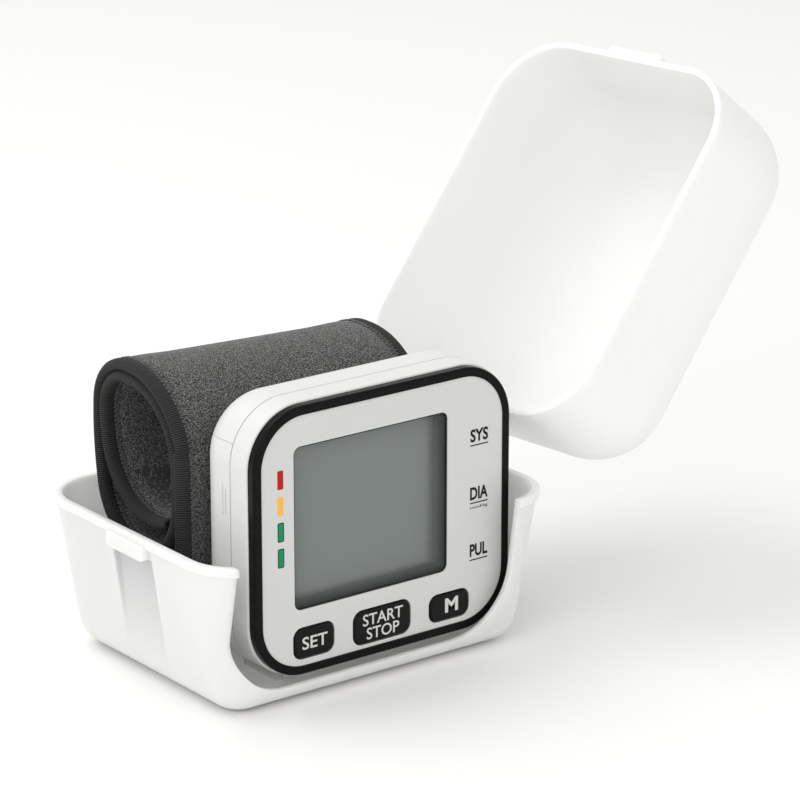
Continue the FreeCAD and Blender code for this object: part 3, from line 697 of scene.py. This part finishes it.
def lettering(name, words, centre, size, y, made, body, bold=0.0):
    """Words in the XZ plane facing -Y, fitted to size (width, height) about centre (x, z), all in mm."""
    curve = bpy.data.curves.new(name, "FONT")
    curve.body = words
    curve.align_x, curve.align_y = "CENTER", "CENTER"
    curve.space_line = 0.86
    curve.offset = bold
    curve.resolution_u = 4
    curve.extrude = 0.01
    holder = bpy.data.objects.new("holder", curve)
    mesh = bpy.data.meshes.new_from_object(holder)
    bpy.data.objects.remove(holder)
    co = np.array([v.co for v in mesh.vertices], float)
    low, high = co.min(0), co.max(0)
    scale = np.array([size[0] / (high[0] - low[0]), size[1] / (high[1] - low[1])])
    flat = (co[:, :2] - (low[:2] + high[:2]) / 2) * scale
    depth = (co[:, 2] - low[2]) / (high[2] - low[2]) * 0.05
    placed = np.stack([flat[:, 0] + centre[0], y / MM - depth + 0.01, flat[:, 1] + centre[1]], axis=1) * MM
    mesh.vertices.foreach_set("co", placed.astype(np.float32).ravel())
    mesh.name = name
    mesh.materials.clear()
    mesh.materials.append(made)
    piece = object_from(name, mesh)
    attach(piece, body)
    return piece


LABEL_X, LABEL_SIZE = 30.9, (5.3, 3.2)
LABELS = (("systolic", "SYS", 54.1), ("diastolic", "DIA", 39.7), ("pulse", "PUL", 25.4))
UNDERLINE_HALF, UNDERLINE_DROP, UNDERLINE_THICK = 2.7, 2.4, 0.3
KEYS = (("set_button", "SET", (7.2, 3.1), (0.0, 0.0), 0.012),
        ("start_stop_button", "START\nSTOP", (11.7, 6.4), (0.0, 0.0), 0.010),
        ("memory_button", "M", (3.9, 3.6), (0.5, 0.3), 0.035))


def build_lettering():
    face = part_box("face_panel")[0].y
    for name, words, z in LABELS:
        lettering("label_" + name, words, (LABEL_X, z), LABEL_SIZE, face, PRINT_DARK, "monitor", 0.03)
        middle = z - UNDERLINE_DROP
        line = ((LABEL_X - UNDERLINE_HALF) * MM, (LABEL_X + UNDERLINE_HALF) * MM,
                (middle - UNDERLINE_THICK / 2) * MM, (middle + UNDERLINE_THICK / 2) * MM)
        slab("underline_" + name, line, face - 0.03 * MM, face + 0.02 * MM, 0.1 * MM, 0.005 * MM,
             PRINT_DARK, "monitor")
    lettering("label_unit", "mmHg", (LABEL_X, 36.1), (5.2, 0.9), face, PRINT_DARK, "monitor")
    for key, words, size, shift, bold in KEYS:
        low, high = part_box(key)
        centre = ((low.x + high.x) / 2 / MM + shift[0], (low.z + high.z) / 2 / MM + shift[1])
        lettering("letters_" + key, words, centre, size, low.y, PRINT_PALE, key, bold)


# --- stage ----------------------------------------------------------------------------------
def build_stage():
    work = bmesh.new()
    bmesh.ops.create_grid(work, x_segments=8, y_segments=8, size=6.0)
    mesh = bpy.data.meshes.new("floor")
    work.to_mesh(mesh)
    work.free()
    mesh.materials.append(FLOOR)
    floor = object_from("floor", mesh)


def area_light(name, place, target, size, watts):
    light = bpy.data.lights.new(name, "AREA")
    light.shape, light.size, light.energy = "DISK", size, watts
    lamp = bpy.data.objects.new(name, light)
    bpy.context.scene.collection.objects.link(lamp)
    lamp.location = place
    lamp.rotation_euler = (Vector(target) - Vector(place)).to_track_quat("-Z", "Y").to_euler()


def build_lights():
    world = bpy.data.worlds.new("studio")
    bpy.context.scene.world = world
    world.use_nodes = True
    sky = world.node_tree.nodes["Background"]
    sky.inputs["Color"].default_value = (1.0, 0.997, 0.985, 1.0)
    sky.inputs["Strength"].default_value = 0.83
    target = (0.02, 0.0, 0.05)
    area_light("key_light", (-0.9, -0.5, 0.7), target, 0.8, 3.2)
    area_light("front_fill", (-0.2, -1.2, 0.2), target, 1.0, 1.2)
    area_light("top_light", (-0.25, 0.45, 1.0), target, 0.8, 4.0)
    bpy.context.scene.view_settings.view_transform = "Standard"


def build_camera():
    lens = bpy.data.cameras.new("camera")
    lens.lens, lens.sensor_width = CAMERA_LENS, CAMERA_SENSOR
    lens.clip_start, lens.clip_end = 0.05, 20.0
    camera = bpy.data.objects.new("camera", lens)
    bpy.context.scene.collection.objects.link(camera)
    back = Vector((math.sin(CAMERA_AZIMUTH) * math.cos(CAMERA_ELEVATION),
                   -math.cos(CAMERA_AZIMUTH) * math.cos(CAMERA_ELEVATION), math.sin(CAMERA_ELEVATION)))
    camera.location = CAMERA_TARGET + back * CAMERA_DISTANCE
    camera.rotation_mode = "QUATERNION"
    camera.rotation_quaternion = (-back).to_track_quat("-Z", "Y")
    bpy.context.scene.camera = camera


build_camera()
build_lights()
build_stage()
finish_nodes()
build_cuff()
build_hook_patch()
build_display()
build_lettering()
